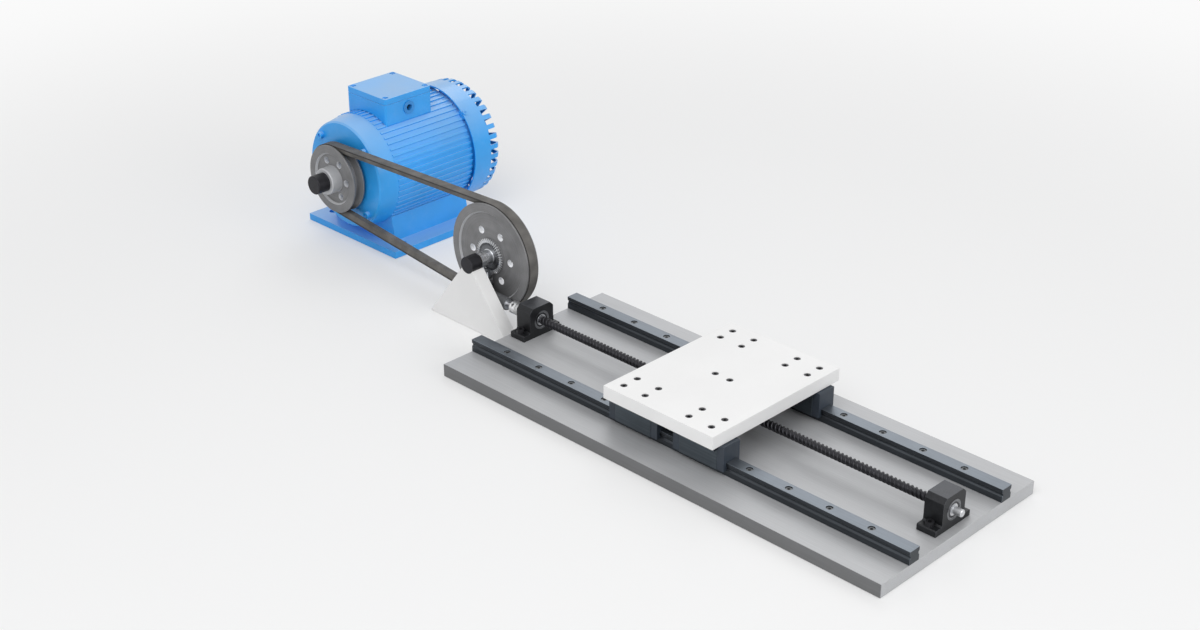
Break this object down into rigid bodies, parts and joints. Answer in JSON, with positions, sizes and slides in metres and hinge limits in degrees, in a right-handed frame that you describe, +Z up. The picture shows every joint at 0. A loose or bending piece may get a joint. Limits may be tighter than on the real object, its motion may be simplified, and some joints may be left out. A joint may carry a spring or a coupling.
{
  "type": "belt driven linear axis",
  "caption": "Linear axis with a footed motor, a V-belt to a pulley on a triangular stand, a lead screw and a carriage plate on two rails.",
  "frame": {"origin": "on the mounting plane, below the centre of the base plate", "axes": "+X along the lead screw away from the motor, +Y along the motor shaft towards its fan, +Z up"},
  "size_m": [1.0445, 0.3483, 0.188],
  "materials": {
    "machined_grey": "fine milled",
    "rail_steel": "dark ground steel",
    "black_screws": "black oxide",
    "black_steel": "black oxide",
    "bearing_steel": "ground",
    "white_paint": "satin white paint",
    "bronze": "sintered bronze",
    "grey_iron": "dark grey painted casting",
    "blue_paint": "semi-gloss azure paint",
    "zinc_screws": "zinc plated",
    "brown_plastic": "moulded",
    "brass": "plain",
    "black_rubber": "moulded",
    "core_steel": "laminated",
    "copper_winding": "varnished copper",
    "belt_rubber": "fabric covered",
    "dark_shaft": "blackened",
    "black_plastic": "moulded",
    "pulley_iron": "turned and oiled",
    "bright_steel": "turned",
    "gear_steel": "cut and oiled",
    "screw_steel": "dark rolled thread",
    "coupling_aluminium": "bright turned",
    "white_anodised": "satin white"
  },
  "bodies": {
    "root": {"base_plate": "machined_grey", "rail_front": "rail_steel", "rail_rear": "rail_steel", "rail_screws": "black_screws", "fixed_support": "black_steel", "floating_support": "black_steel", "support_bearings": "bearing_steel", "support_screws": "black_screws", "bearing_stand": "white_paint", "stand_sleeve": "black_steel", "stand_bush": "bronze", "gear_housing": "grey_iron", "gear_housing_cap": "grey_iron", "housing_screws": "black_screws", "gearbox_bearings": "bearing_steel", "motor_frame": "blue_paint", "front_shield": "blue_paint", "rear_shield": "blue_paint", "shield_screws": "zinc_screws", "fan_cowl": "blue_paint", "cover_screws": "zinc_screws", "terminal_box": "blue_paint", "terminal_box_lid": "blue_paint", "terminal_board": "brown_plastic", "terminal_studs": "brass", "cable_grommet": "black_rubber", "stator_core": "core_steel", "stator_windings": "copper_winding", "motor_bearings": "bearing_steel", "drive_belt": "belt_rubber"},
    "rotor": {"motor_shaft": "dark_shaft", "rotor_core": "core_steel", "cooling_fan": "black_plastic", "motor_pulley": "pulley_iron", "motor_key": "bright_steel"},
    "cross_drive": {"cross_shaft": "bright_steel", "driven_pulley": "pulley_iron", "pulley_key": "bright_steel", "bevel_gear": "bright_steel", "pulley_retainer": "black_screws"},
    "upright_drive": {"upright_shaft": "bright_steel", "upright_pinion": "gear_steel", "upright_mitre_gear": "gear_steel"},
    "screw": {"lead_screw": "screw_steel", "output_shaft": "bright_steel", "output_mitre_gear": "gear_steel", "shaft_coupling": "coupling_aluminium", "coupling_screws": "black_screws", "lock_nut": "black_steel"},
    "carriage": {"carriage_plate": "white_anodised", "block_front_left": "rail_steel", "block_front_right": "rail_steel", "block_rear_left": "rail_steel", "block_rear_right": "rail_steel", "block_end_caps": "black_plastic", "block_screws": "black_screws", "nut_bracket": "machined_grey", "screw_nut": "gear_steel", "nut_screws": "black_screws", "bracket_screws": "black_screws"}
  },
  "joints": [
    {"name": "rotor_spin", "type": "hinge", "parent": "root", "child": "rotor", "pos_m": [-0.658, 0, 0.09], "axis": [0, 1, 0], "range_deg": [-3925, 3925]},
    {"name": "cross_spin", "type": "hinge", "parent": "root", "child": "cross_drive", "pos_m": [-0.367, 0, 0.08], "axis": [0, 1, 0], "range_deg": [-2660, 2660]},
    {"name": "upright_spin", "type": "hinge", "parent": "root", "child": "upright_drive", "pos_m": [-0.367, 0, 0.05], "axis": [0, 0, 1], "range_deg": [-6655, 6655]},
    {"name": "screw_spin", "type": "hinge", "parent": "root", "child": "screw", "pos_m": [0, 0, 0.034], "axis": [1, 0, 0], "range_deg": [-6655, 6655]},
    {"name": "carriage_slide", "type": "slide", "parent": "root", "child": "carriage", "axis": [1, 0, 0], "range_m": [-0.185, 0.185]}
  ],
  "couplings": [
    {"joint": "cross_spin", "follows": "rotor_spin", "ratio": 0.67742},
    {"joint": "upright_spin", "follows": "rotor_spin", "ratio": 1.6935},
    {"joint": "screw_spin", "follows": "rotor_spin", "ratio": -1.6935},
    {"joint": "carriage_slide", "follows": "rotor_spin", "m_per_rad": 0.0026954}
  ]
}
